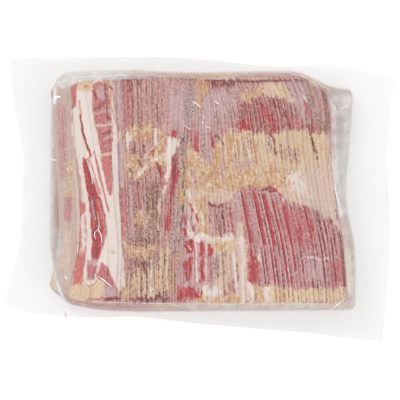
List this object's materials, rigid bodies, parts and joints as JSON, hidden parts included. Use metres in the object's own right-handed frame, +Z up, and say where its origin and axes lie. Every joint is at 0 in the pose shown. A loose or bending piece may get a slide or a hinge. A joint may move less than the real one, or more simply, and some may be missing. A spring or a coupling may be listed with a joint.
{
  "type": "bacon pack",
  "caption": "Clear vacuum pouch lying flat, shrunk tight over two layers of overlapping raw streaky bacon slices, with a flat sealed margin all round.",
  "frame": {"origin": "on the surface the pouch lies on, under the middle of the pouch's outline", "axes": "+X along the pouch, across the slices, towards the end where the slices step down; +Y along the slices, towards the straight top edge; +Z up"},
  "size_m": [0.414, 0.2998, 0.044],
  "materials": {
    "pouch_film": "clear shrunk film over raw bacon, glossy, milky in its folds"
  },
  "bodies": {
    "root": {"sealed_pouch": "pouch_film"}
  },
  "joints": []
}
